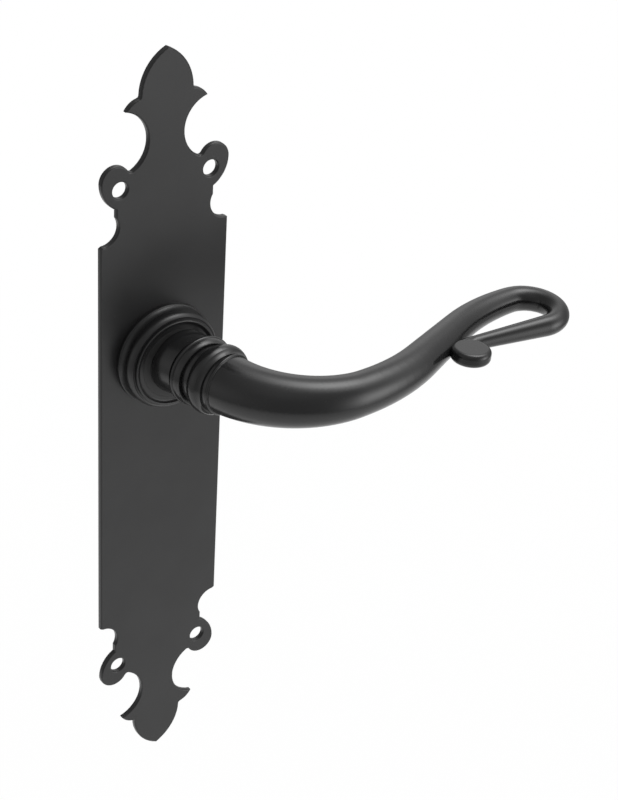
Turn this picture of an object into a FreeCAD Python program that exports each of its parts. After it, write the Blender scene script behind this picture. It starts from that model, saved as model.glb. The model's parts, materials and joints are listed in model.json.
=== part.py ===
"""Door lever handle on a long, scroll-edged backplate, as a parametric FreeCAD document.

Every piece is drawn in the handle's own working frame: the origin on the spindle axis at
the face of the door, X to the right along the grip, Y up the door and Z straight out of
the door. One shared placement then stands the pieces up in the part's frame, where +Z is
up, the door is the XZ plane and the handle stands out of it towards -Y.

The lever turns about the spindle axis. Its journal runs in a nylon bush in the rose, a
drive plate keyed to the journal carries the stop tab and one leg of the return spring,
and a circlip behind the drive plate holds the stack together.
"""
import FreeCAD, Part
import Sketcher
import math
import os
import re
from FreeCAD import Placement, Rotation, Vector

# Driving dimensions, in millimetres and degrees: alias, value, meaning.
SIZES = [
    # backplate, measured from its own centre (x across, y up)
    ("plate_width", 45.0, "width across the straight sides"),
    ("plate_thick", 1.6, "sheet thickness"),
    ("plate_edge_round", 0.5, "rounding of the front edge"),
    ("axis_height", 28.8, "spindle axis above the plate's centre"),
    ("shoulder_height", 69.95, "centre to the end of the straight side"),
    ("low_bay_x", 21.67, "lower bay, centre across"),
    ("low_bay_rise", 5.95, "lower bay, centre above the shoulder"),
    ("low_bay_radius", 5.47, "lower bay, radius"),
    ("step_x", 17.02, "half width of the step above the lower bay"),
    ("ear_tip_x", 22.3, "half width over the ears"),
    ("ear_tip_rise", 20.47, "ear's widest point above the shoulder"),
    ("ear_low_radius", 10.13, "ear, lower arc"),
    ("ear_top_radius", 5.05, "ear, upper arc"),
    ("notch_radius", 1.1, "rounding of the notch above the ear"),
    ("high_bay_x", 16.37, "upper bay, centre across"),
    ("high_bay_rise", 31.66, "upper bay, centre above the shoulder"),
    ("high_bay_radius", 10.12, "upper bay, radius"),
    ("barb_x", 14.05, "half width over the barbs"),
    ("barb_radius", 6.6, "top edge of the barb"),
    ("acorn_base_rise", 44.77, "start of the acorn tip above the shoulder"),
    ("acorn_offset", 6.14, "acorn arc centre, past the middle line"),
    ("acorn_centre_rise", 44.96, "acorn arc centre above the shoulder"),
    ("acorn_radius", 15.21, "acorn arc, radius"),
    ("acorn_root_round", 0.8, "rounding where the acorn meets the barb"),
    ("fixing_x", 15.8, "fixing holes, half spacing across"),
    ("fixing_rise", 17.65, "fixing holes above the shoulder"),
    ("fixing_hole_radius", 2.6, "fixing holes, radius"),
    ("centre_hole_radius", 12.95, "hole behind the rose"),
    # rose
    ("rose_radius", 16.9, "radius of the base flange"),
    ("rose_base_height", 0.9, "height of the base flange's straight side"),
    ("rose_edge_round", 0.35, "rounded front edge of the flange"),
    ("rose_cove_round", 4.0, "hollow curve that rises from the flange to the ring"),
    ("rose_cove_height", 3.3, "foot of the bulging ring above the plate"),
    ("rose_ring_root", 15.9, "foot of the bulging ring, radius"),
    ("rose_ring_round", 3.0, "bulge of the ring"),
    ("rose_ring_top", 15.2, "front edge of the bulging ring, radius"),
    ("rose_ring_height", 6.8, "front edge of the bulging ring above the plate"),
    ("rose_groove_depth", 0.1, "groove between the ring and the rim, depth"),
    ("rose_groove_slope", 0.3, "groove, outer flank"),
    ("rose_rim_radius", 14.4, "outer edge of the rim"),
    ("rose_rim_round", 0.5, "rounded crest of the rim"),
    ("rose_height", 7.4, "height of the rim's edges above the plate"),
    ("rose_dish_radius", 13.6, "inner edge of the rim"),
    ("rose_dish_depth", 0.4, "rim to the floor of the dish"),
    ("rose_dish_round", 1.5, "hollow curve of the dish"),
    ("rose_floor_radius", 12.9, "edge of the dish's floor"),
    ("rose_web", 1.2, "thickness of the rose's front wall behind the bush"),
    ("rose_cavity_radius", 12.9, "spring housing inside the rose"),
    # screws that hold the rose from behind
    ("screw_count", 3, "screws on the circle"),
    ("screw_circle_radius", 14.8, "radius of the screw circle"),
    ("screw_radius", 1.0, "thread radius"),
    ("screw_length", 3.0, "length under and with the head"),
    ("screw_head_radius", 1.6, "countersunk head"),
    ("screw_head_height", 0.8, "height of the head's cone"),
    ("screw_slot_width", 0.6, "cross recess"),
    ("screw_clearance", 0.15, "radial clearance of the screws in the plate"),
    ("fit_gap", 0.05, "radial gap of parts screwed or pressed together"),
    ("tool_overrun", 1.0, "how far cutting tools reach past what they cut"),
    # journal, bush and the stack behind it
    ("journal_radius", 9.0, "lever's bearing journal"),
    ("running_gap", 0.08, "radial running clearance of the journal"),
    ("stack_gap", 0.1, "axial clearance between the pieces of the stack"),
    ("bush_wall", 1.2, "wall of the nylon bush"),
    ("bush_flange_radius", 11.6, "bush flange"),
    ("bush_flange_thick", 1.0, "bush flange, thickness"),
    ("washer_thick", 0.5, "thrust washer"),
    ("drive_thick", 1.2, "drive plate"),
    ("drive_radius", 12.55, "drive plate, radius"),
    ("drive_tab_radius", 14.7, "drive plate, stop tab"),
    ("drive_tab_width", 5.0, "drive plate, width of the tab"),
    ("tab_gap", 0.3, "stop tab to the outer wall of its slot"),
    ("key_flat", 7.6, "half distance over the journal's two flats"),
    ("circlip_thick", 1.0, "circlip"),
    ("circlip_groove_depth", 0.8, "circlip groove in the journal"),
    ("circlip_play", 0.05, "play of the circlip in its groove, each side"),
    ("circlip_width", 2.3, "radial width of the circlip"),
    ("circlip_opening", 50.0, "opening of the circlip, degrees"),
    ("journal_end", 1.7, "journal's end behind the door face"),
    ("socket_side", 7.1, "square spindle socket, across flats"),
    ("socket_depth", 21.5, "square spindle socket, depth from the journal's end"),
    ("lever_travel", 45.0, "turn of the lever, degrees"),
    ("stop_gap", 1.2, "stop tab to its stop, degrees"),
    # return spring
    ("spring_wire", 1.3, "wire diameter"),
    ("spring_radius", 11.45, "mean radius of the coils"),
    ("spring_turns", 2.0, "turns between the legs"),
    ("spring_leg", 1.0, "length of each leg past the coil"),
    ("spring_leg_gap", 0.1, "radial gap of a leg in its hole"),
    # lever: leaning neck, collars, grip, loop and tail
    ("neck_lean", 12.5, "lean of the neck towards the grip, degrees"),
    ("ferrule_root_radius", 10.7, "neck ferrule at the rose"),
    ("ferrule_end_radius", 10.2, "neck ferrule at the collars"),
    ("ferrule_length", 6.5, "length of the ferrule"),
    ("neck_core_radius", 9.4, "lever's core inside the ferrule"),
    ("collar_gap", 0.6, "gap between ferrule and first collar"),
    ("collar_bore", 8.4, "inside of the collars, within the lever's core"),
    ("thin_ring_foot", 10.95, "fine ring at the back of the first collar, back edge"),
    ("thin_ring_round", 0.86, "fine ring, rounding"),
    ("thin_ring_width", 1.5, "fine ring, width"),
    ("collar_line_radius", 10.95, "fine line between ring and band, bottom"),
    ("collar_line_width", 0.3, "fine line, width"),
    ("band_root_radius", 11.2, "band of the first collar, at the fine line"),
    ("band_edge_radius", 10.7, "band of the first collar, front edge"),
    ("band_bulge", 5.0, "band, gentle bulge"),
    ("band_edge_round", 0.35, "band, rounding of the front edge"),
    ("first_collar_width", 3.9, "first collar, width"),
    ("first_collar_tilt", 2.5, "tilt of the first collar, degrees"),
    ("collar_core_radius", 9.9, "bottom of the groove between the collars"),
    ("core_end_radius", 8.6, "end of that core, inside the grip"),
    ("core_overlap", 1.5, "how far that core reaches into the grip"),
    ("collar_groove", 1.6, "width of the groove between the collars"),
    ("barrel_back_radius", 10.3, "second collar, back edge"),
    ("barrel_radius", 10.6, "second collar, start of its bulge"),
    ("barrel_edge_round", 0.3, "second collar, rounding of its back edge"),
    ("barrel_bulge", 3.4, "second collar, bulge"),
    ("barrel_width", 4.3, "second collar, back edge to end of its bulge"),
    ("barrel_end_radius", 11.0, "second collar, end of its bulge"),
    ("barrel_sweep", 3.0, "second collar, hollow curve down to the grip"),
    ("second_collar_width", 6.0, "second collar, width"),
    ("second_collar_front", 10.1, "second collar, front edge"),
    ("second_collar_tilt", 6.0, "tilt of the second collar, degrees"),
    ("lip_radius", 9.95, "fine lip at the root of the grip"),
    ("lip_round", 0.6, "fine lip, rounding"),
    ("lip_seat_radius", 9.65, "end of the neck under the lip"),
    ("lip_seat_length", 4.0, "end of the neck, from inside the second collar to the lip"),
    ("lip_seat_lap", 0.2, "reach of the neck's end past the middle of the lip"),
    ("section_spacing", 3.6, "distance between the sections drawn along the bar"),
    ("grip_start", 28.0, "height where the grip's bend starts"),
    ("grip_root_radius", 9.4, "grip, radius at its root"),
    ("bend_radius", 32.0, "bend from the neck into the grip"),
    ("bend_end_radius", 6.9, "grip, radius at the end of the bend"),
    ("sweep_radius", 70.0, "gentle curve of the hand grip"),
    ("sweep_angle", 23.5, "turn of the hand grip, degrees"),
    ("sweep_end_radius", 6.1, "grip, radius after the gentle curve"),
    ("straight_length", 26.1, "straight part of the grip"),
    ("straight_end_radius", 5.2, "grip, radius after the straight part"),
    ("return_radius", 67.4, "curve back before the loop"),
    ("loop_radius", 9.75, "end loop, centreline"),
    ("loop_start_radius", 4.3, "bar, radius at the start of the loop"),
    ("loop_end_radius", 3.5, "bar, radius at the end of the loop"),
    ("loop_extra", 7.0, "turn of the loop past half a circle, degrees"),
    ("tail_length", 38.5, "straight tail after the loop, into the flattened end and the grip"),
    ("tail_end_radius", 1.9, "tail, radius at its end"),
    ("button_back", 6.2, "middle of the flattened end, back from the tail's end"),
    ("button_aside", 5.15, "middle of the flattened end, from the tail towards the hand"),
    ("button_radius", 6.5, "flattened end of the tail"),
    ("button_thick", 4.5, "flattened end, thickness"),
    ("button_round", 1.5, "flattened end, rounded rim"),
    ("button_tilt", 3.0, "flattened end, tilt, degrees"),
]

# The working frame (Z out of the door) stood up in the part's frame (+Z up, out is -Y).
STAND_UP = Placement(Vector(0, 0, 0), Rotation(Vector(1, 0, 0), 90))

doc = FreeCAD.newDocument("DoorLever")
sheet = doc.addObject("Spreadsheet::Sheet", "Sizes")
for row, (alias, value, meaning) in enumerate(SIZES, start=1):
    sheet.set("A%d" % row, meaning)
    sheet.set("B%d" % row, str(value))
    sheet.setAlias("B%d" % row, alias)
doc.recompute()

ALIASES = {alias for alias, _, _ in SIZES}


def bound(text):
    """Turns a formula of size names into one that reads the sheet's cells."""
    return re.sub(r"[a-z]+(?:_[a-z]+)+", lambda m: "Sizes." + m.group(0), text)


def number(text):
    """The present value of a formula of size names."""
    return float(sheet.evalExpression(bound(text)))


def bind(thing, **formulas):
    """Binds properties of a document object to formulas of size names."""
    for prop, text in formulas.items():
        thing.setExpression(prop, bound(text))
    return thing


def place(thing, x="0", y="0", z="0"):
    """Binds an object's position to formulas of size names."""
    for axis, text in zip("xyz", (x, y, z)):
        thing.setExpression(".Placement.Base." + axis, bound(text))
    return thing


# Heights above the door face, from the back of the stack to its front.
PLATE_FRONT = "plate_thick"
DRIVE_BACK = "(plate_thick - drive_thick) / 2"
DRIVE_FRONT = "(plate_thick + drive_thick) / 2"
WASHER_BACK = DRIVE_FRONT + " + stack_gap"
WASHER_FRONT = WASHER_BACK + " + washer_thick"
BUSH_BACK = WASHER_FRONT + " + stack_gap"
DISH_FLOOR = "plate_thick + rose_height - rose_dish_depth"
FLANGE_SEAT = DISH_FLOOR + " - bush_flange_thick"
CAVITY_TOP = FLANGE_SEAT + " - rose_web"
BUSH_FRONT = DISH_FLOOR
CIRCLIP_FRONT = DRIVE_BACK + " - stack_gap"
CIRCLIP_BACK = CIRCLIP_FRONT + " - circlip_thick"
NECK_BACK = BUSH_FRONT + " + stack_gap / 2"
JOURNAL_FRONT = NECK_BACK + " + stack_gap / 4"
FERRULE_BACK = BUSH_FRONT + " + stack_gap"
FERRULE_FRONT = FERRULE_BACK + " + ferrule_length"
COLLAR_BACK = FERRULE_FRONT + " + collar_gap"
FIRST_COLLAR = COLLAR_BACK + " + first_collar_width / 2"
SECOND_COLLAR = (COLLAR_BACK + " + first_collar_width + collar_groove"
                 + " + second_collar_width / 2")

# Heights above the plate's middle of what stands on its shoulder.
LOW_BAY_Y = "shoulder_height + low_bay_rise"
EAR_TIP_Y = "shoulder_height + ear_tip_rise"
HIGH_BAY_Y = "shoulder_height + high_bay_rise"
ACORN_BASE_Y = "shoulder_height + acorn_base_rise"
ACORN_CENTRE_Y = "shoulder_height + acorn_centre_rise"
FIXING_Y = "shoulder_height + fixing_rise"


def lean(height):
    """Sideways place of the leaning neck's middle at a height above the door."""
    return "(%s) * tan(neck_lean)" % height


# ---------------------------------------------------------------- sketches and bodies

def origin_item(body, role):
    """One of the body's own origin planes or axes."""
    return next(item for item in body.Origin.OriginFeatures if item.Role == role)


def new_sketch(body, role, name):
    """A sketch on one of the body's own origin planes."""
    sketch = body.newObject("Sketcher::SketchObject", name)
    sketch.AttachmentSupport = [(origin_item(body, role), "")]
    sketch.MapMode = "FlatFace"
    return sketch


def arc_between(start, end, radius, turn):
    """Arc shorter than half a circle from start to end; turn is 1 left, -1 right."""
    middle = (start + end) * 0.5
    chord = end - start
    left = Vector(-chord.y, chord.x, 0).normalize()
    reach = math.sqrt(max(radius ** 2 - (chord.Length / 2) ** 2, 0))
    centre = middle + left * (reach * turn)
    first = math.atan2(start.y - centre.y, start.x - centre.x)
    last = math.atan2(end.y - centre.y, end.x - centre.x)
    if turn < 0:
        first, last = last, first
    circle = Part.Circle(centre, Vector(0, 0, 1), radius)
    return Part.ArcOfCircle(circle, first, last if last > first else last + 2 * math.pi)


def draw_outline(sketch, corners):
    """Closed outline. A corner is (x, y) or (x, y, radius, turn): the edge that leaves it
    is then an arc. Each corner and radius is tied to its formula."""
    points = [Vector(number(c[0]), number(c[1]), 0) for c in corners]
    ends = []
    for i, corner in enumerate(corners):
        start, end = points[i], points[(i + 1) % len(points)]
        if len(corner) == 2:
            ends.append((sketch.addGeometry(Part.LineSegment(start, end), False), 1, 2))
            continue
        radius, turn = corner[2:]
        edge = sketch.addGeometry(arc_between(start, end, number(radius), turn), False)
        ends.append((edge, 1, 2) if turn > 0 else (edge, 2, 1))
        tie_constraint(sketch, Sketcher.Constraint("Radius", edge, number(radius)), radius)
    for i, corner in enumerate(corners):
        before, here = ends[i - 1], ends[i]
        sketch.addConstraint(Sketcher.Constraint("Coincident", before[0], before[2], here[0], here[1]))
        fix_point(sketch, here[0], here[1], corner[0], corner[1])


def tie_constraint(sketch, constraint, formula):
    """Adds a dimension to the sketch and ties it to its formula."""
    index = sketch.addConstraint(constraint)
    sketch.setExpression("Constraints[%d]" % index, bound(formula))


def fix_point(sketch, edge, end, x, y):
    """Holds a point of the sketch at the formulas x and y from the origin."""
    for kind, other_axis, text in (("DistanceX", -2, x), ("DistanceY", -1, y)):
        value = number(text)
        if abs(value) < 1e-9:
            sketch.addConstraint(Sketcher.Constraint("PointOnObject", edge, end, other_axis))
        elif value > 0:
            tie_constraint(sketch, Sketcher.Constraint(kind, -1, 1, edge, end, value), text)
        else:
            tie_constraint(sketch, Sketcher.Constraint(kind, edge, end, -1, 1, -value),
                           "-(%s)" % text)


def turned(name, corners):
    """A body turned about the spindle axis from corners (radius, height)."""
    body = doc.addObject("PartDesign::Body", name)
    sketch = new_sketch(body, "XZ_Plane", name + "_profile")
    draw_outline(sketch, corners)
    turn = body.newObject("PartDesign::Revolution", name + "_turned")
    turn.Profile = sketch
    turn.ReferenceAxis = (sketch, ["V_Axis"])
    turn.Angle = 360
    body.Tip = turn
    return body


# ---------------------------------------------------------------- Part helpers

def cylinder(name, radius, low, high, x="0", y="0"):
    """Cylinder along Z between two heights."""
    thing = doc.addObject("Part::Cylinder", name)
    bind(thing, Radius=radius, Height="(%s) - (%s)" % (high, low))
    return place(thing, x, y, low)


def box(name, width, depth, height, x, y, z):
    """Box centred on x and y that stands up from z."""
    thing = doc.addObject("Part::Box", name)
    bind(thing, Length=width, Width=depth, Height=height)
    return place(thing, "(%s) - (%s) / 2" % (x, width), "(%s) - (%s) / 2" % (y, depth), z)


def fused(name, parts):
    thing = doc.addObject("Part::MultiFuse", name)
    thing.Shapes = parts
    thing.Refine = False
    return thing


def fused_in_turn(name, base, parts):
    """Adds the parts to the base one after the other."""
    for part in parts:
        thing = doc.addObject("Part::Fuse", "%s_with_%s" % (name, part.Name))
        thing.Base = base
        thing.Tool = part
        thing.Refine = False
        base = thing
    return base


def cut(name, base, tool):
    thing = doc.addObject("Part::Cut", name)
    thing.Base = base
    thing.Tool = tool
    thing.Refine = False
    return thing


def circle(name, radius, x, z, turn=0.0):
    """Circle round the lever's middle line; turn tips its plane towards the grip."""
    thing = doc.addObject("Part::Circle", name)
    thing.Placement = Placement(Vector(x, 0, z), Rotation(Vector(0, 1, 0), turn))
    bind(thing, Radius=radius)
    return thing


def loft(name, sections, ruled=False):
    thing = doc.addObject("Part::Loft", name)
    thing.Sections = sections
    thing.Solid = True
    thing.Ruled = ruled
    return thing


def leaning(name, radius_low, low, radius_high, high):
    """Round bar along the leaning neck between two heights, its ends parallel to the door."""
    ends = []
    for tag, radius, height in (("_low", radius_low, low), ("_high", radius_high, high)):
        end = circle(name + tag, radius, 0, 0)
        ends.append(place(end, lean(height), "0", height))
    return loft(name, ends, ruled=True)


NODES = {}


def finish(label, thing, x="0", y="0"):
    """Names a finished piece and stands it up in the part's frame."""
    thing.Label = label
    NODES[label] = thing
    shift = Placement(Vector(number(x), number(y), 0), Rotation())
    thing.Placement = STAND_UP.multiply(shift).multiply(thing.Placement)


# ---------------------------------------------------------------- backplate

def crossing(centre_a, radius_a, centre_b, radius_b):
    """The crossing of two circles that lies nearer the plate's middle line."""
    between = centre_b - centre_a
    span = between.Length
    along = (radius_a ** 2 - radius_b ** 2 + span ** 2) / (2 * span)
    across = math.sqrt(radius_a ** 2 - along ** 2)
    unit = between.normalize()
    foot = centre_a + unit * along
    side = Vector(-unit.y, unit.x, 0) * across
    return min(foot + side, foot - side, key=lambda point: point.x)


def quarter_outline(sketch):
    """One quarter of the plate: straight side, shoulder, lower bay, step, ear, notch,
    upper bay, barb and acorn tip, closed along the two middle lines."""
    half_width, shoulder = number("plate_width / 2"), number("shoulder_height")
    low_bay = Vector(number("low_bay_x"), number(LOW_BAY_Y), 0)
    high_bay = Vector(number("high_bay_x"), number(HIGH_BAY_Y), 0)
    ear_y = number(EAR_TIP_Y)
    ear_low = Vector(number("ear_tip_x - ear_low_radius"), ear_y, 0)
    ear_top = Vector(number("ear_tip_x - ear_top_radius"), ear_y, 0)
    acorn = Vector(-number("acorn_offset"), number(ACORN_CENTRE_Y), 0)
    step = number("step_x")
    low_r, high_r = number("low_bay_radius"), number("high_bay_radius")
    ear_low_r, ear_top_r = number("ear_low_radius"), number("ear_top_radius")
    notch_r, acorn_r = number("notch_radius"), number("acorn_radius")

    bay_foot = low_bay - Vector(0, low_r, 0)
    bay_head = Vector(step, low_bay.y + math.sqrt(low_r ** 2 - (low_bay.x - step) ** 2), 0)
    ear_root = Vector(step, ear_y - math.sqrt(ear_low_r ** 2 - (step - ear_low.x) ** 2), 0)
    ear_tip = Vector(number("ear_tip_x"), ear_y, 0)
    notch = crossing(ear_top, ear_top_r + notch_r, high_bay, high_r - notch_r)
    notch_low = ear_top + (notch - ear_top).normalize() * ear_top_r
    notch_high = high_bay + (notch - high_bay).normalize() * high_r
    barb_x = number("barb_x")
    barb = Vector(barb_x, high_bay.y + math.sqrt(high_r ** 2 - (high_bay.x - barb_x) ** 2), 0)
    base_y = number(ACORN_BASE_Y)
    acorn_base = Vector(acorn.x + math.sqrt(acorn_r ** 2 - (base_y - acorn.y) ** 2), base_y, 0)
    acorn_tip = Vector(0, acorn.y + math.sqrt(acorn_r ** 2 - acorn.x ** 2), 0)

    line, arc = Part.LineSegment, arc_between
    corner = Vector(half_width, shoulder, 0)
    shapes = [
        (line(Vector(0, 0, 0), Vector(half_width, 0, 0)), 1),
        (line(Vector(half_width, 0, 0), corner), 1),
        (line(corner, bay_foot), 1),
        (arc(bay_foot, bay_head, low_r, -1), -1),
        (line(bay_head, ear_root), 1),
        (arc(ear_root, ear_tip, ear_low_r, 1), 1),
        (arc(ear_tip, notch_low, ear_top_r, 1), 1),
        (arc(notch_low, notch_high, notch_r, -1), -1),
        (arc(notch_high, barb, high_r, -1), -1),
        (arc(barb, acorn_base, number("barb_radius"), 1), 1),
        (arc(acorn_base, acorn_tip, acorn_r, 1), 1),
        (line(acorn_tip, Vector(0, 0, 0)), 1),
    ]
    (foot, side, ledge, bay_a, riser, ear_a, ear_b, notch_a, bay_b, barb_a, acorn_a,
     middle) = [sketch.addGeometry(shape, False) for shape, _ in shapes]
    ends = [(1, 2) if turn > 0 else (2, 1) for _, turn in shapes]

    def rule(*values):
        sketch.addConstraint(Sketcher.Constraint(*values))

    for i in range(len(shapes)):
        after = (i + 1) % len(shapes)
        if i in (notch_a - 1, notch_a):
            rule("Tangent", i, ends[i][1], after, ends[after][0])
        else:
            rule("Coincident", i, ends[i][1], after, ends[after][0])
    rule("Coincident", foot, 1, -1, 1)
    rule("Horizontal", foot)
    rule("Vertical", side)
    rule("Vertical", riser)
    rule("Vertical", middle)
    fix_point(sketch, side, 2, "plate_width / 2", "shoulder_height")
    for edge, x, y, radius in (
            (bay_a, "low_bay_x", LOW_BAY_Y, "low_bay_radius"),
            (ear_a, "ear_tip_x - ear_low_radius", EAR_TIP_Y, "ear_low_radius"),
            (bay_b, "high_bay_x", HIGH_BAY_Y, "high_bay_radius"),
            (acorn_a, "-acorn_offset", ACORN_CENTRE_Y, "acorn_radius")):
        fix_point(sketch, edge, 3, x, y)
        tie_constraint(sketch, Sketcher.Constraint("Radius", edge, number(radius)), radius)
    for edge, radius in ((notch_a, "notch_radius"), (barb_a, "barb_radius")):
        tie_constraint(sketch, Sketcher.Constraint("Radius", edge, number(radius)), radius)
    fix_point(sketch, ear_b, 3, "ear_tip_x - ear_top_radius", EAR_TIP_Y)
    rule("Vertical", ledge, 2, bay_a, 3)
    tie_constraint(sketch, Sketcher.Constraint("DistanceX", -1, 1, riser, 1, step), "step_x")
    rule("Horizontal", ear_a, 2, ear_a, 3)
    tie_constraint(sketch, Sketcher.Constraint("DistanceX", -1, 1, barb_a, 1, barb_x), "barb_x")
    tie_constraint(sketch, Sketcher.Constraint("DistanceY", -1, 1, acorn_a, 1, base_y),
                   ACORN_BASE_Y)
    hole = sketch.addGeometry(Part.Circle(Vector(number("fixing_x"), number(FIXING_Y), 0),
                                          Vector(0, 0, 1), number("fixing_hole_radius")), False)
    fix_point(sketch, hole, 3, "fixing_x", FIXING_Y)
    tie_constraint(sketch, Sketcher.Constraint("Radius", hole, number("fixing_hole_radius")),
                   "fixing_hole_radius")


def screw_angles():
    """Directions of the rose's screws, clear of the stop sector at the top."""
    count = int(round(number("screw_count")))
    return [-90 + 360 / count * i for i in range(count)]


def on_screw_circle(angle):
    """Formulas for the place of the screw at an angle."""
    return ("screw_circle_radius * cos(%g)" % angle, "screw_circle_radius * sin(%g)" % angle)


def sector(name, radius, half_angle, low, high):
    """Wedge of a disc about the spindle axis, centred on the top."""
    thing = doc.addObject("Part::Cylinder", name)
    bind(thing, Radius=radius, Height="(%s) - (%s)" % (high, low), Angle="2 * (%s)" % half_angle)
    thing.Placement = Placement(Vector(0, 0, 0), Rotation(Vector(0, 0, 1), 90 - number(half_angle)))
    return place(thing, "0", "0", low)


# Half angle that the stop tab covers at its outer corner, and half of its whole travel.
TAB_HALF_ANGLE = "asin(drive_tab_width / 2 / centre_hole_radius) / 1 deg"
STOP_HALF_ANGLE = "(%s) + lever_travel / 2 + stop_gap" % TAB_HALF_ANGLE


def make_backplate():
    body = doc.addObject("PartDesign::Body", "Plate")
    sketch = new_sketch(body, "XY_Plane", "Plate_quarter")
    quarter_outline(sketch)
    pad = body.newObject("PartDesign::Pad", "Plate_pad")
    pad.Profile = sketch
    bind(pad, Length="plate_thick")
    doc.recompute()
    mirrors = []
    for name, role in (("Plate_left", "YZ_Plane"), ("Plate_below", "XZ_Plane")):
        mirror = body.newObject("PartDesign::Mirrored", name)
        mirror.MirrorPlane = (origin_item(body, role), [""])
        mirrors.append(mirror)
    whole = body.newObject("PartDesign::MultiTransform", "Plate_whole")
    whole.Originals = [pad]
    whole.Transformations = mirrors
    body.Tip = whole
    doc.recompute()
    roots = body.newObject("PartDesign::Fillet", "Plate_roots")
    roots.Base = (whole, acorn_roots(whole.Shape))
    bind(roots, Radius="acorn_root_round")
    body.Tip = roots
    doc.recompute()
    rounding = body.newObject("PartDesign::Fillet", "Plate_edge")
    rounding.Base = (roots, front_outline(roots.Shape))
    bind(rounding, Radius="plate_edge_round")
    body.Tip = rounding
    doc.recompute()

    above, through = "plate_thick + tool_overrun", "-tool_overrun"
    tools = [cylinder("Plate_hole", "centre_hole_radius", through, above),
             sector("Plate_stop", "drive_tab_radius + tab_gap", STOP_HALF_ANGLE, through, above)]
    for i, angle in enumerate(screw_angles(), start=1):
        x, y = on_screw_circle(angle)
        tools.append(cylinder("Plate_screw_hole_%d" % i, "screw_radius + screw_clearance",
                              through, above, x, y))
        sink = doc.addObject("Part::Cone", "Plate_sink_%d" % i)
        bind(sink, Radius1="screw_head_radius + screw_clearance / 2",
             Radius2="screw_radius + screw_clearance / 2", Height="screw_head_height")
        tools.append(place(sink, x, y, "0"))
    piercing = fused("Plate_piercing", tools)
    body.setExpression(".Placement.Base.y", bound("-axis_height"))
    finish("backplate", cut("Plate_pierced", body, piercing))


def acorn_roots(shape):
    """Names of the four upright edges between the acorn tips and the barbs."""
    base_y = number(ACORN_BASE_Y)
    return ["Edge%d" % (i + 1) for i, edge in enumerate(shape.Edges)
            if all(abs(abs(corner.Y) - base_y) < 1e-3 for corner in edge.Vertexes)]


def front_outline(shape):
    """Names of the edges round the plate's front face and its fixing holes."""
    front = max(shape.Faces, key=lambda face: face.CenterOfMass.z)
    rim = [edge for wire in front.Wires for edge in wire.Edges]
    return ["Edge%d" % (i + 1) for i, edge in enumerate(shape.Edges)
            if any(edge.isSame(other) for other in rim)]


# ---------------------------------------------------------------- rose and its screws

def make_rose():
    edge_height = "plate_thick + rose_base_height + rose_edge_round"
    ring_height, rim_height = "plate_thick + rose_ring_height", "plate_thick + rose_height"
    bore = "journal_radius + running_gap + bush_wall + fit_gap"
    shell = turned("Rose", [
        ("rose_cavity_radius", PLATE_FRONT),
        ("rose_radius", PLATE_FRONT),
        ("rose_radius", "plate_thick + rose_base_height", "rose_edge_round", 1),
        ("rose_radius - rose_edge_round", edge_height, "rose_cove_round", -1),
        ("rose_ring_root", "plate_thick + rose_cove_height", "rose_ring_round", 1),
        ("rose_ring_top", ring_height),
        ("rose_ring_top - rose_groove_slope", ring_height + " - rose_groove_depth"),
        ("rose_rim_radius", ring_height + " - rose_groove_depth"),
        ("rose_rim_radius", rim_height, "rose_rim_round", 1),
        ("rose_dish_radius", rim_height, "rose_dish_round", -1),
        ("rose_floor_radius", DISH_FLOOR),
        ("bush_flange_radius + fit_gap", DISH_FLOOR),
        ("bush_flange_radius + fit_gap", FLANGE_SEAT),
        (bore, FLANGE_SEAT),
        (bore, CAVITY_TOP),
        ("rose_cavity_radius", CAVITY_TOP),
    ])
    tools = []
    for i, angle in enumerate(screw_angles(), start=1):
        x, y = on_screw_circle(angle)
        tools.append(cylinder("Rose_screw_hole_%d" % i, "screw_radius + fit_gap",
                              PLATE_FRONT + " - tool_overrun", "screw_length + fit_gap", x, y))
    leg_x, leg_y = spring_leg_place()
    tools.append(cylinder("Rose_leg_hole", "spring_wire / 2 + spring_leg_gap",
                          CAVITY_TOP + " - tool_overrun", CAVITY_TOP + " + spring_leg + stack_gap",
                          leg_x, leg_y))
    finish("rose", cut("Rose_drilled", shell, fused("Rose_holes", tools)))


def make_rose_screw(index, angle):
    """Countersunk screw driven from behind the plate into the rose's flange."""
    name = "Screw_%d" % index
    head = doc.addObject("Part::Cone", name + "_head")
    bind(head, Radius1="screw_head_radius", Radius2="screw_radius", Height="screw_head_height")
    shank = cylinder(name + "_shank", "screw_radius", "0", "screw_length")
    arms = [box(name + "_arm_%d" % i, width, depth, "screw_head_height", "0", "0",
                "-screw_head_height / 2")
            for i, (width, depth) in enumerate((("screw_head_radius", "screw_slot_width"),
                                                ("screw_slot_width", "screw_head_radius")))]
    screw = cut(name, fused(name + "_solid", [head, shank]), fused(name + "_recess", arms))
    x, y = on_screw_circle(angle)
    finish("rose_screw_%d" % index, screw, x, y)


# ---------------------------------------------------------------- bush, washer, drive plate, circlip

def make_bush():
    inner, outer = "journal_radius + running_gap", "journal_radius + running_gap + bush_wall"
    finish("bearing_bush", turned("Bush", [
        (inner, BUSH_BACK),
        (outer, BUSH_BACK),
        (outer, FLANGE_SEAT),
        ("bush_flange_radius", FLANGE_SEAT),
        ("bush_flange_radius", BUSH_FRONT),
        (inner, BUSH_FRONT),
    ]))


def make_washer():
    inner, outer = "journal_radius + running_gap", "journal_radius + running_gap + bush_wall"
    finish("thrust_washer", turned("Washer", [
        (inner, WASHER_BACK), (outer, WASHER_BACK), (outer, WASHER_FRONT), (inner, WASHER_FRONT)]))


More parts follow.
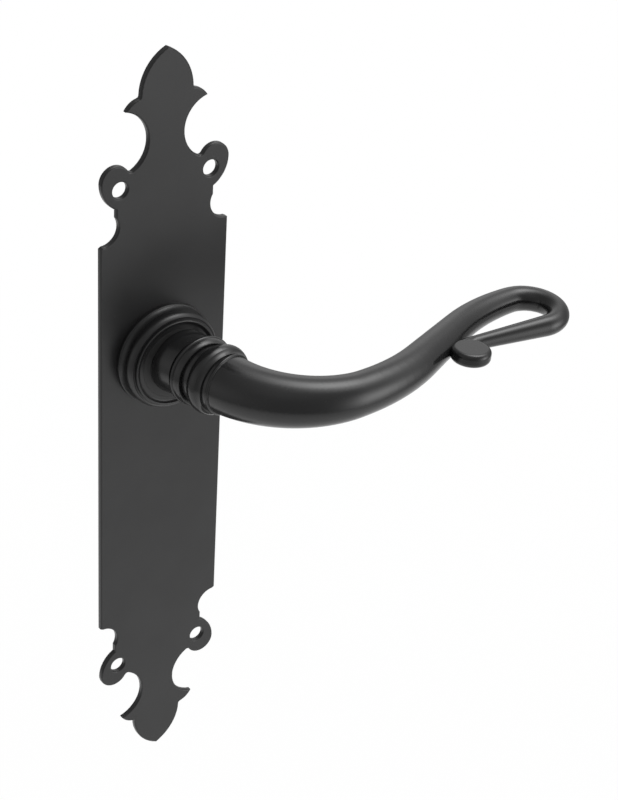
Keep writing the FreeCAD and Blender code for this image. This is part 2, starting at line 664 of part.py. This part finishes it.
def make_drive_plate():
    below, above = DRIVE_BACK + " - tool_overrun", DRIVE_FRONT + " + tool_overrun"
    disc = cylinder("Drive_disc", "drive_radius", DRIVE_BACK, DRIVE_FRONT)
    tab = box("Drive_tab", "drive_tab_width", "drive_tab_radius", "drive_thick",
              "0", "drive_tab_radius / 2", DRIVE_BACK)
    rim = cylinder("Drive_rim", "drive_tab_radius", DRIVE_BACK, DRIVE_FRONT)
    tab_end = doc.addObject("Part::Common", "Drive_tab_end")
    tab_end.Base = tab
    tab_end.Tool = rim
    tab_turn = number("lever_travel / 2")
    tab_end.Placement = Placement(Vector(0, 0, 0), Rotation(Vector(0, 0, 1), tab_turn))
    bore = keyed_bar("Drive_bore", "journal_radius + fit_gap", "key_flat + fit_gap",
                     below, above)
    leg_x, leg_y = spring_leg_place()
    leg = cylinder("Drive_leg_hole", "spring_wire / 2 + spring_leg_gap", below, above,
                   leg_x, leg_y)
    blank = fused("Drive_blank", [disc, tab_end])
    finish("drive_plate", cut("Drive", blank, fused("Drive_holes", [bore, leg])))


def keyed_bar(name, radius, flat, low, high):
    """Round bar with two flats, above and below the middle."""
    bar = cylinder(name + "_round", radius, low, high)
    slab = box(name + "_slab", "4 * (%s)" % radius, "2 * (%s)" % flat, "(%s) - (%s)" % (high, low),
               "0", "0", low)
    thing = doc.addObject("Part::Common", name)
    thing.Base = bar
    thing.Tool = slab
    return thing


def make_circlip():
    inner = "journal_radius - circlip_groove_depth + fit_gap"
    outer = inner + " + circlip_width"
    below, above = CIRCLIP_BACK + " - tool_overrun", CIRCLIP_FRONT + " + tool_overrun"
    ring = cut("Circlip_ring", cylinder("Circlip_outer", outer, CIRCLIP_BACK, CIRCLIP_FRONT),
               cylinder("Circlip_inner", inner, below, above))
    gap = sector("Circlip_gap", outer + " + tool_overrun", "circlip_opening / 2", below, above)
    finish("circlip", cut("Circlip", ring, gap))


# ---------------------------------------------------------------- return spring

def spring_leg_place():
    """Where both legs stand: on the coil's circle, at the bottom."""
    return "0", "-spring_radius"


# The straight legs are drawn a little thinner than the coil that they run out of.
LEG_RADIUS = "0.97 * spring_wire / 2"


def make_spring():
    """Torsion spring: coils round the bush, one leg in the rose, one in the drive plate."""
    low = DRIVE_FRONT + " + spring_wire / 2 + stack_gap"
    high = CAVITY_TOP + " - spring_wire / 2 - stack_gap"
    coil = doc.addObject("Part::Helix", "Spring_path")
    bind(coil, Radius="spring_radius", Height="(%s) - (%s)" % (high, low),
         Pitch="((%s) - (%s)) / spring_turns" % (high, low))
    wire = doc.addObject("Part::Circle", "Spring_wire")
    bind(wire, Radius="spring_wire / 2")
    wire.Placement = Placement(Vector(0, 0, 0), Rotation(Vector(1, 0, 0), 90))
    place(wire, "spring_radius")
    coils = doc.addObject("Part::Sweep", "Spring_coils")
    coils.Sections = [wire]
    coils.Spine = (coil, [])
    coils.Solid = True
    coils.Frenet = True
    coils.Placement = Placement(Vector(0, 0, 0), Rotation(Vector(0, 0, 1), -90))
    place(coils, "0", "0", low)
    x, y = spring_leg_place()
    parts = [coils]
    for tag, foot, head in (
            ("rear", "(%s) - spring_wire / 2 - spring_leg" % low, "(%s) + spring_wire / 2" % low),
            ("front", "(%s) - spring_wire / 2" % high, "(%s) + spring_wire / 2 + spring_leg" % high)):
        parts.append(cylinder("Spring_leg_" + tag, LEG_RADIUS, foot, head, x, y))
    finish("return_spring", fused("Spring", parts))


# ---------------------------------------------------------------- lever

def grip_sections():
    """Circles along the lever's middle line, from the neck to the end of the loop.

    The middle line lies in the horizontal plane: an arc from the leaning neck into the
    grip, a gentle arc, a straight part, an arc back and the loop. Its heading is the angle
    from straight out of the door towards the grip's far end."""
    start = number("neck_lean")
    sweep = number("sweep_angle")
    legs = [
        # kind, length or arc radius, turn in degrees, bar radius at the end
        ("arc", number("bend_radius"), 90 - start, "bend_end_radius"),
        ("arc", number("sweep_radius"), sweep, "sweep_end_radius"),
        ("line", number("straight_length"), 0, "straight_end_radius"),
        ("arc", number("return_radius"), -sweep, "loop_start_radius"),
        ("arc", number("loop_radius"), -180 - number("loop_extra"), "loop_end_radius"),
    ]
    height = number("grip_start")
    place_now = Vector(number(lean("grip_start")), 0, height)
    heading = start
    sections = [circle("Grip_0", "grip_root_radius", place_now.x, place_now.z, heading)]
    before = "grip_root_radius"
    lengths = [size if kind == "line" else size * math.radians(abs(turn))
               for kind, size, turn, after in legs]
    counts = [int(round(length / number("section_spacing"))) for length in lengths]
    # A loft through a multiple of three circles comes out wavy, so one more is added then.
    if (1 + sum(counts)) % 3 == 0:
        counts[0] += 1
    for (kind, size, turn, after), count in zip(legs, counts):
        step = turn / count
        run = size / count if kind == "line" else 2 * size * math.sin(math.radians(abs(step)) / 2)
        for i in range(1, count + 1):
            along = math.radians(heading + step / 2)
            place_now = place_now + Vector(math.sin(along), 0, math.cos(along)) * run
            heading += step
            radius = "%s + (%s - %s) * %d / %d" % (before, after, before, i, count)
            name = "Grip_%d" % len(sections)
            sections.append(circle(name, radius, place_now.x, place_now.z, heading))
        before = after
    return sections, place_now, heading


def collar(name, corners, height, tilt, seam):
    """Turned collar round the neck, its middle at the height, its plane tipped towards the
    grip. Its seam is turned aside by an angle of its own, as two seams that cross would
    spoil the fusion."""
    ring = turned(name, corners)
    tip = Rotation(Vector(0, 1, 0), number(tilt))
    aside = Rotation(Vector(0, 0, 1), seam)
    ring.Placement = Placement(Vector(0, 0, 0), tip.multiply(aside))
    return place(ring, lean(height), "0", height)


def first_collar():
    """Fine ring, fine line and a band that narrows to its front edge."""
    back, front = "-first_collar_width / 2", "first_collar_width / 2"
    line_back = back + " + thin_ring_width"
    return collar("First_collar", [
        ("collar_bore", back),
        ("thin_ring_foot", back, "thin_ring_round", 1),
        ("band_root_radius", line_back),
        ("collar_line_radius", line_back + " + collar_line_width / 2"),
        ("band_root_radius", line_back + " + collar_line_width", "band_bulge", 1),
        ("band_edge_radius", front + " - band_edge_round", "band_edge_round", 1),
        ("band_edge_radius - band_edge_round", front),
        ("collar_bore", front),
    ], FIRST_COLLAR, "first_collar_tilt", 65)


def second_collar():
    """Barrel that falls away in a hollow curve to the root of the grip."""
    back, front = "-second_collar_width / 2", "second_collar_width / 2"
    return collar("Second_collar", [
        ("collar_bore", back),
        ("barrel_back_radius", back, "barrel_edge_round", 1),
        ("barrel_radius", back + " + barrel_edge_round", "barrel_bulge", 1),
        ("barrel_end_radius", back + " + barrel_width", "barrel_sweep", -1),
        ("second_collar_front", front),
        ("collar_bore", front),
    ], SECOND_COLLAR, "second_collar_tilt", 90)


LIP_SEAM, LIP_SEAT_SEAM = 115, 140    # degrees; turned aside like the collars' seams


def lip():
    """Fine rounded ring at the root of the grip."""
    ring = doc.addObject("Part::Torus", "Lip")
    tip = Rotation(Vector(0, 1, 0), number("neck_lean"))
    aside = Rotation(Vector(0, 0, 1), LIP_SEAM)
    ring.Placement = Placement(Vector(0, 0, 0), tip.multiply(aside))
    bind(ring, Radius1="lip_radius - lip_round", Radius2="lip_round")
    return place(ring, lean("grip_start"), "0", "grip_start")


def lip_seat():
    """End of the neck, square to its lean, which joins the second collar to the lip."""
    seat = doc.addObject("Part::Cone", "Lip_seat")
    tip = Rotation(Vector(0, 1, 0), number("neck_lean"))
    aside = Rotation(Vector(0, 0, 1), LIP_SEAT_SEAM)
    seat.Placement = Placement(Vector(0, 0, 0), tip.multiply(aside))
    bind(seat, Radius1="collar_core_radius", Radius2="lip_seat_radius",
         Height="lip_seat_length + lip_seat_lap")
    start = "grip_start - lip_seat_length * cos(neck_lean)"
    return place(seat, lean("(%s)" % start), "0", start)


def heading_way(heading):
    """One step along a heading, and one step to its left, towards the hand."""
    along = math.radians(heading)
    return Vector(math.sin(along), 0, math.cos(along)), Vector(math.cos(along), 0, -math.sin(along))


def tail(loop_end, heading):
    """Straight tapered tail, from the loop back to the grip, with its end sunk in the grip."""
    bar = doc.addObject("Part::Cone", "Tail")
    bind(bar, Radius1="loop_end_radius", Radius2="tail_end_radius", Height="tail_length")
    bar.Placement = Placement(loop_end, Rotation(Vector(0, 1, 0), heading))
    return bar


def make_button(loop_end, heading):
    """Flattened round end of the tail, to the tail's hand side and merged with the grip."""
    ahead, aside = heading_way(heading)
    reach = number("tail_length") - number("button_back")
    centre = loop_end + ahead * reach + aside * number("button_aside")
    disc = doc.addObject("Part::Cylinder", "Button_disc")
    bind(disc, Radius="button_radius", Height="button_thick")
    doc.recompute()
    rim = doc.addObject("Part::Fillet", "Button")
    rim.Base = disc
    rounding = number("button_round")
    rim.Edges = [(i + 1, rounding, rounding) for i, edge in enumerate(disc.Shape.Edges)
                 if edge.Curve.TypeId == "Part::GeomCircle"]
    tip = Rotation(Vector(1, 0, 0), -90).multiply(Rotation(Vector(0, 1, 0), number("button_tilt")))
    middle = Vector(0, 0, number("button_thick") / 2)
    rim.Placement = Placement(centre - tip.multVec(middle), tip)
    return rim


def make_lever():
    journal = cylinder("Journal", "journal_radius", DRIVE_FRONT + " + stack_gap / 2",
                       JOURNAL_FRONT)
    key = keyed_bar("Journal_key", "journal_radius", "key_flat", "-journal_end",
                    DRIVE_FRONT + " + stack_gap")
    neck = leaning("Neck_core", "neck_core_radius", NECK_BACK,
                   "neck_core_radius", FIRST_COLLAR + " + first_collar_width / 4")
    collar_core = leaning("Collar_core", "collar_core_radius", FIRST_COLLAR,
                          "core_end_radius", "grip_start + core_overlap")
    root = fused("Lever_root", [journal, key, neck, collar_core])
    socket = box("Socket", "socket_side", "socket_side", "socket_depth + tool_overrun",
                 "0", "0", "-journal_end - tool_overrun")
    groove_outer = cylinder("Groove_outer", "journal_radius + tool_overrun",
                            CIRCLIP_BACK + " - circlip_play", CIRCLIP_FRONT + " + circlip_play")
    groove_inner = cylinder("Groove_inner", "journal_radius - circlip_groove_depth",
                            CIRCLIP_BACK + " - tool_overrun", CIRCLIP_FRONT + " + tool_overrun")
    groove = cut("Groove", groove_outer, groove_inner)
    bored_root = cut("Lever_bored", cut("Lever_grooved", root, groove), socket)
    collars = [first_collar(), second_collar(), lip_seat(), lip()]
    sections, loop_end, heading = grip_sections()
    grip = loft("Grip", sections)
    ends = [tail(loop_end, heading), make_button(loop_end, heading)]
    finish("lever", fused_in_turn("Lever", bored_root, collars + [grip] + ends))


def make_ferrule():
    """Plain sleeve round the neck, between the rose and the collars."""
    outside = leaning("Ferrule_outside", "ferrule_root_radius", FERRULE_BACK,
                      "ferrule_end_radius", FERRULE_FRONT)
    bore = "neck_core_radius + fit_gap"
    inside = leaning("Ferrule_inside", bore, FERRULE_BACK + " - tool_overrun",
                     bore, FERRULE_FRONT + " + tool_overrun")
    finish("neck_ferrule", cut("Ferrule", outside, inside))


# ---------------------------------------------------------------- build, test and export

make_backplate()
make_rose()
for number_of_screw, screw_angle in enumerate(screw_angles(), start=1):
    make_rose_screw(number_of_screw, screw_angle)
make_bush()
make_washer()
make_drive_plate()
make_circlip()
make_spring()
make_lever()
make_ferrule()
doc.recompute()

for item in doc.Objects:
    if {"Invalid", "Error"} & set(item.State):
        raise RuntimeError("%s could not be made: %s" % (item.Name, item.State))
os.makedirs("parts", exist_ok=True)
for label, thing in NODES.items():
    shape = thing.Shape
    if shape.isNull() or not shape.isValid() or len(shape.Solids) != 1:
        raise RuntimeError("%s is not one valid solid" % label)
    shape.exportStep("parts/%s.step" % label)
    box_of = shape.BoundBox
    print("%-16s %9.1f mm3  x %.2f..%.2f  y %.2f..%.2f  z %.2f..%.2f" % (
        label, shape.Volume, box_of.XMin, box_of.XMax, box_of.YMin, box_of.YMax,
        box_of.ZMin, box_of.ZMax))
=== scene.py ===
"""Looks for a door lever handle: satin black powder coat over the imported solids.

Everything is in metres in the part's own frame: the origin on the spindle axis at the face
of the door, +Z up the door, +X along the grip, -Y out of the door. The solids keep their
own meshes, and each gets the finish of its material slot.
"""

import json
import math

import bpy
from mathutils import Matrix, Vector


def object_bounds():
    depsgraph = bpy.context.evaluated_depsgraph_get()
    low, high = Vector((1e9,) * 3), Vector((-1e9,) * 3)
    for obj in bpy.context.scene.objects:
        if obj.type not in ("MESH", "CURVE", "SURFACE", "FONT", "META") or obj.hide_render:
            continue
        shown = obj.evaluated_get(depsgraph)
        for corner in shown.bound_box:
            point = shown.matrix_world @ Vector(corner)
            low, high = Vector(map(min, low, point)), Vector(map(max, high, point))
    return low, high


MM = 0.001

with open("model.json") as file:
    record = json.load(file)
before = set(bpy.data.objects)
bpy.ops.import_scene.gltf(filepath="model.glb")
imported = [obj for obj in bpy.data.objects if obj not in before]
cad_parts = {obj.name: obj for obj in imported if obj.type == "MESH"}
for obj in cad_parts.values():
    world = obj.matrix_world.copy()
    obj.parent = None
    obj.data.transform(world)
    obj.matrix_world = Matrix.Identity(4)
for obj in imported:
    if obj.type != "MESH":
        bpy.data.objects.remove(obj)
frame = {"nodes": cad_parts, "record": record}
CAD_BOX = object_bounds()


# ---------------------------------------------------------------- shader maths

COLOUR_FIRST, COLOUR_SECOND, COLOUR_RESULT = 6, 7, 2    # colour sockets of a Mix node


class Signal:
    """A number or colour on a socket, with the usual operators as Math nodes."""

    def __init__(self, shader, socket):
        self.shader = shader
        self.socket = socket

    def maths(self, operation, first, second=0.0):
        return self.shader.node("ShaderNodeMath", {"operation": operation}, {0: first, 1: second})

    def __add__(self, other):
        return self.maths("ADD", self, other)

    def __sub__(self, other):
        return self.maths("SUBTRACT", self, other)

    def __rsub__(self, other):
        return self.maths("SUBTRACT", other, self)

    def __mul__(self, other):
        return self.maths("MULTIPLY", self, other)

    def exponent(self):
        return self.maths("EXPONENT", self)

    def ramp(self, low, high):
        """0 below low, 1 above high and a soft step between them."""
        return self.shader.node("ShaderNodeMapRange", {"interpolation_type": "SMOOTHSTEP"},
                                {"Value": self, "From Min": low, "From Max": high})


class Shader:
    """The nodes of a new material or world. Patterns read Object coordinates."""

    def __init__(self, owner):
        owner.use_nodes = True
        self.owner = owner
        self.nodes = owner.node_tree.nodes
        self.links = owner.node_tree.links
        self.nodes.clear()

    def node(self, kind, settings=None, values=None, output=0):
        """Adds a node; settings are set first, then its sockets get values or links."""
        made = self.nodes.new(kind)
        for name, value in (settings or {}).items():
            setattr(made, name, value)
        for key, value in (values or {}).items():
            if isinstance(value, Signal):
                self.links.new(value.socket, made.inputs[key])
            else:
                made.inputs[key].default_value = value
        return Signal(self, made.outputs[output])

    def place(self, stretch=(1, 1, 1)):
        """Object coordinates; a stretch under 1 draws a pattern out along that axis."""
        here = self.node("ShaderNodeTexCoord", output="Object")
        if stretch == (1, 1, 1):
            return here
        return self.node("ShaderNodeMapping", {}, {"Vector": here, "Scale": stretch})

    def noise(self, size, detail=2.0, stretch=(1, 1, 1)):
        """Noise from 0 to 1 whose grains are about as long as the size."""
        return self.node("ShaderNodeTexNoise", {}, {"Vector": self.place(stretch),
                                                    "Scale": 1 / size, "Detail": detail})

    def mix(self, factor, first, second):
        """Colour between two colours."""
        colours = [c if isinstance(c, Signal) else (*c, 1) for c in (first, second)]
        return self.node("ShaderNodeMix", {"data_type": "RGBA"},
                         {"Factor": factor, COLOUR_FIRST: colours[0], COLOUR_SECOND: colours[1]},
                         output=COLOUR_RESULT)

    def bump(self, height, depth, under=None):
        """Normal of a relief whose height from 0 to 1 is as deep as the depth."""
        values = {"Strength": 1.0, "Distance": depth, "Height": height}
        if under:
            values["Normal"] = under
        return self.node("ShaderNodeBump", {}, values)

    def finish(self, surface, output="ShaderNodeOutputMaterial"):
        out = self.nodes.new(output)
        self.links.new(surface.socket, out.inputs["Surface"])
        return self.owner


def finish_shader(name):
    return Shader(bpy.data.materials.new(name))


def scaled(colour, share):
    """The colour made darker, or lighter with a share over 1."""
    return tuple(c * share for c in colour)


# ---------------------------------------------------------------- finishes

CLOUD_EDGES = (0.3, 0.7)       # noise levels between which a soft cloud fades in
METAL_EDGES = (0.35, 0.65)     # the same for the tighter clouds on bare metal

COAT_CLOUD = 24 * MM
COAT_DARKER, COAT_LIGHTER = 0.82, 1.18
COAT_GRAIN = 0.35 * MM
COAT_SPECK = 0.9 * MM
COAT_PEEL = 1.6 * MM
PEEL_DEPTH = 0.004 * MM
GRAIN_DEPTH = 0.0012 * MM
SPECK_EDGES = (0.74, 0.80)     # only the tops of the noise show as specks
SPECK_SHARE = 0.35
SPECK_LIGHTER = 3.0
ROUGH_CLOUD, ROUGH_GRAIN, ROUGH_SPECK = 0.05, 0.03, 0.08
ROUGH_MEAN = 0.045             # what clouds, grain and specks add on average
HAND_FADE = 20 * MM
HAND_SMOOTHER = 0.03


def powder_coat(name, colour, roughness, hand_zone=None):
    """Satin powder coat: orange peel and a fine grain over an even dark colour.

    Where hands rub the coat, along +X between the ends of the hand zone, it is smoother."""
    s = finish_shader(name)
    clouds = s.noise(COAT_CLOUD, detail=3.0)
    grain = s.noise(COAT_GRAIN, detail=2.0)
    shade = s.mix(clouds.ramp(*CLOUD_EDGES), scaled(colour, COAT_DARKER),
                  scaled(colour, COAT_LIGHTER))
    specks = s.noise(COAT_SPECK, detail=1.0).ramp(*SPECK_EDGES)
    shade = s.mix(specks * SPECK_SHARE, shade, scaled(colour, SPECK_LIGHTER))
    swing = clouds * ROUGH_CLOUD + grain * ROUGH_GRAIN + specks * ROUGH_SPECK
    rough = swing + (roughness - ROUGH_MEAN)
    if hand_zone:
        along = s.node("ShaderNodeSeparateXYZ", {}, {"Vector": s.place()}, output="X")
        start, end = hand_zone
        inside = along.ramp(start, start + HAND_FADE)
        rubbed = inside * (1 - along.ramp(end - HAND_FADE, end))
        rough = rough - rubbed * HAND_SMOOTHER
    peel = s.bump(s.noise(COAT_PEEL, detail=1.5), PEEL_DEPTH)
    relief = s.bump(grain, GRAIN_DEPTH, peel)
    return s.finish(s.node("ShaderNodeBsdfPrincipled", {}, {
        "Base Color": shade, "Roughness": rough, "Normal": relief}))


ZINC_COOL, ZINC_WARM = (0.60, 0.62, 0.66), (0.68, 0.66, 0.58)
STEEL_COOL, STEEL_WARM = (0.17, 0.17, 0.18), (0.24, 0.23, 0.22)
NYLON_DARKER, NYLON_LIGHTER = 0.85, 1.2
ZINC_CLOUD, STEEL_CLOUD, NYLON_CLOUD = 9 * MM, 6 * MM, 7 * MM
ZINC_LINE, STEEL_LINE, NYLON_GRAIN = 0.25 * MM, 0.15 * MM, 0.3 * MM
ZINC_DRAWN, STEEL_DRAWN, NYLON_DRAWN = (1, 1, 0.12), (0.2, 0.2, 1), (1, 1, 0.4)
LINE_DEPTH = 0.002 * MM
SPARK_DEPTH = 0.006 * MM
ZINC_ROUGHNESS, STEEL_ROUGHNESS, NYLON_ROUGHNESS = 0.26, 0.2, 0.42
ZINC_ROUGH_CLOUD, ZINC_ROUGH_LINE = 0.12, 0.10
STEEL_ROUGH_LINE = 0.15
NYLON_ROUGH_CLOUD = 0.1


def zinc_plate(name):
    """Passivated zinc on steel: faint warm and cool clouds and drawn lines."""
    s = finish_shader(name)
    clouds = s.noise(ZINC_CLOUD, detail=3.0)
    lines = s.noise(ZINC_LINE, detail=2.0, stretch=ZINC_DRAWN)
    shade = s.mix(clouds.ramp(*METAL_EDGES), ZINC_COOL, ZINC_WARM)
    rough = clouds * ZINC_ROUGH_CLOUD + lines * ZINC_ROUGH_LINE + ZINC_ROUGHNESS
    return s.finish(s.node("ShaderNodeBsdfPrincipled", {}, {
        "Base Color": shade, "Metallic": 1.0, "Roughness": rough,
        "Normal": s.bump(lines, LINE_DEPTH)}))


def spring_wire(name):
    """Oiled spring steel: dark, with the die's drawing lines and faint warm clouds."""
    s = finish_shader(name)
    clouds = s.noise(STEEL_CLOUD, detail=2.0)
    lines = s.noise(STEEL_LINE, detail=2.0, stretch=STEEL_DRAWN)
    shade = s.mix(clouds.ramp(*METAL_EDGES), STEEL_COOL, STEEL_WARM)
    rough = lines * STEEL_ROUGH_LINE + STEEL_ROUGHNESS
    return s.finish(s.node("ShaderNodeBsdfPrincipled", {}, {
        "Base Color": shade, "Metallic": 1.0, "Roughness": rough,
        "Normal": s.bump(lines, LINE_DEPTH)}))


def moulded_nylon(name, colour):
    """Black nylon: a fine spark-eroded grain and faint flow clouds."""
    s = finish_shader(name)
    grain = s.noise(NYLON_GRAIN, detail=3.0)
    clouds = s.noise(NYLON_CLOUD, detail=2.0, stretch=NYLON_DRAWN)
    shade = s.mix(clouds.ramp(*CLOUD_EDGES), scaled(colour, NYLON_DARKER),
                  scaled(colour, NYLON_LIGHTER))
    return s.finish(s.node("ShaderNodeBsdfPrincipled", {}, {
        "Base Color": shade, "Roughness": clouds * NYLON_ROUGH_CLOUD + NYLON_ROUGHNESS,
        "Normal": s.bump(grain, SPARK_DEPTH)}))


def dress(node, material):
    slots = frame["nodes"][node].data.materials
    slots.clear()
    slots.append(material)


COAT_BLACK = (0.012, 0.012, 0.0123)
NYLON_BLACK = (0.02, 0.02, 0.02)
PLATE_ROUGHNESS = 0.32
LEVER_ROUGHNESS = 0.21
HAND_ZONE = (18 * MM, 95 * MM)

FINISHES = {
    "black_coat": powder_coat("black_coat", COAT_BLACK, PLATE_ROUGHNESS),
    "black_coat_lever": powder_coat("black_coat_lever", COAT_BLACK, LEVER_ROUGHNESS, HAND_ZONE),
    "black_nylon": moulded_nylon("black_nylon", NYLON_BLACK),
    "spring_steel": spring_wire("spring_steel"),
    "zinc_steel": zinc_plate("zinc_steel"),
}

for subpart in frame["record"]["subparts"]:
    dress(subpart["node"], FINISHES[subpart["material_slot"]])


# ---------------------------------------------------------------- camera

CAMERA_AIM = Vector((36.04, -30.0, -13.82)) * MM
CAMERA_DISTANCE = 619.49 * MM
CAMERA_AZIMUTH = -38.29
CAMERA_ELEVATION = 31.22
CAMERA_ROLL = 3.60
LENS = 89.09


def direction(azimuth, elevation):
    """Unit vector; the azimuth turns from the front towards +X, both in degrees."""
    azimuth, elevation = math.radians(azimuth), math.radians(elevation)
    return Vector((math.sin(azimuth) * math.cos(elevation),
                   -math.cos(azimuth) * math.cos(elevation), math.sin(elevation)))


def make_camera():
    back = direction(CAMERA_AZIMUTH, CAMERA_ELEVATION)
    data = bpy.data.cameras.new("Camera")
    data.lens = LENS
    camera = bpy.data.objects.new("Camera", data)
    bpy.context.scene.collection.objects.link(camera)
    upright = back.to_track_quat("Z", "Y").to_matrix().to_4x4()
    roll = Matrix.Rotation(math.radians(CAMERA_ROLL), 4, "Z")
    camera.matrix_world = Matrix.Translation(CAMERA_AIM + back * CAMERA_DISTANCE) @ upright @ roll
    bpy.context.scene.camera = camera


# ---------------------------------------------------------------- studio

AMBIENT = 0.42
SOFT_LIGHTS = {
    # where it stands (azimuth, elevation), how tight it is, its brightness
    "overhead": (100, 65, 17, 6.8),
    "front_right": (40, 5, 17, 3.6),
    "low_front": (30, -10, 17, 1.0),
    "right": (70, 35, 17, 0.8),
    "behind_right": (138, 20, 17, 0.9),
    "left": (-100, 5, 10, 0.35),
    "upper_left": (-40, 65, 10, 0.3),
}
FLOOR_REACH = 1.5
FLOOR_DROP = 0.35
FLOOR_GREY = 0.9
FLOOR_SEEN_WHITE = 0.92
FLOOR_FADE = (0.6, 1.4)    # distances from the spindle between which the floor fades out


def make_world():
    """A dome of large soft lights, each brightest at its middle and fading smoothly. The
    camera sees plain white instead."""
    s = Shader(bpy.data.worlds.new("Studio"))
    here = s.node("ShaderNodeTexCoord", output="Generated")
    total = AMBIENT
    for azimuth, elevation, tightness, brightness in SOFT_LIGHTS.values():
        facing = s.node("ShaderNodeVectorMath", {"operation": "DOT_PRODUCT"},
                        {0: here, 1: direction(azimuth, elevation)}, output="Value")
        total = ((facing - 1) * tightness).exponent() * brightness + total
    lit = s.node("ShaderNodeBackground", {}, {"Strength": total})
    seen = s.node("ShaderNodeBackground", {}, {"Color": (1, 1, 1, 1), "Strength": 1.0})
    camera_ray = s.node("ShaderNodeLightPath", output="Is Camera Ray")
    both = s.node("ShaderNodeMixShader", {}, {0: camera_ray, 1: lit, 2: seen})
    bpy.context.scene.world = s.finish(both, "ShaderNodeOutputWorld")


def make_floor():
    """Pale floor that keeps the shadow and fades out towards its ends. The camera sees it
    nearly white, and so do glossy and clear surfaces, up to where it fades."""
    level = CAD_BOX[0][2] - FLOOR_DROP
    corners = [(x * FLOOR_REACH, y * FLOOR_REACH, level)
               for x, y in ((-1, -1), (1, -1), (1, 1), (-1, 1))]
    mesh = bpy.data.meshes.new("Floor")
    mesh.from_pydata(corners, [], [(0, 1, 2, 3)])
    floor = bpy.data.objects.new("Floor", mesh)
    bpy.context.scene.collection.objects.link(floor)
    s = finish_shader("pale_floor")
    lit = s.node("ShaderNodeBsdfDiffuse", {}, {"Color": (FLOOR_GREY, FLOOR_GREY, FLOOR_GREY, 1)})
    white = s.node("ShaderNodeEmission", {}, {"Color": (1, 1, 1, 1), "Strength": 1.0})
    camera_ray = s.node("ShaderNodeLightPath", output="Is Camera Ray")
    glossy_ray = s.node("ShaderNodeLightPath", output="Is Glossy Ray")
    through_ray = s.node("ShaderNodeLightPath", output="Is Transmission Ray")
    away = s.node("ShaderNodeVectorMath", {"operation": "LENGTH"}, {0: s.place()},
                  output="Value")
    fade = away.ramp(*FLOOR_FADE)
    nothing = s.node("ShaderNodeBsdfTransparent")
    fading = s.node("ShaderNodeMixShader", {}, {0: fade, 1: lit, 2: nothing})
    seen_white = fade * (1 - FLOOR_SEEN_WHITE) + FLOOR_SEEN_WHITE
    mirrored_white = (1 - fade) * FLOOR_SEEN_WHITE
    mirrored = (glossy_ray + through_ray) * mirrored_white
    floor.data.materials.append(s.finish(s.node("ShaderNodeMixShader", {}, {
        0: camera_ray * seen_white + mirrored, 1: fading, 2: white})))


make_camera()
make_world()
make_floor()
bpy.context.scene.view_settings.view_transform = "Standard"
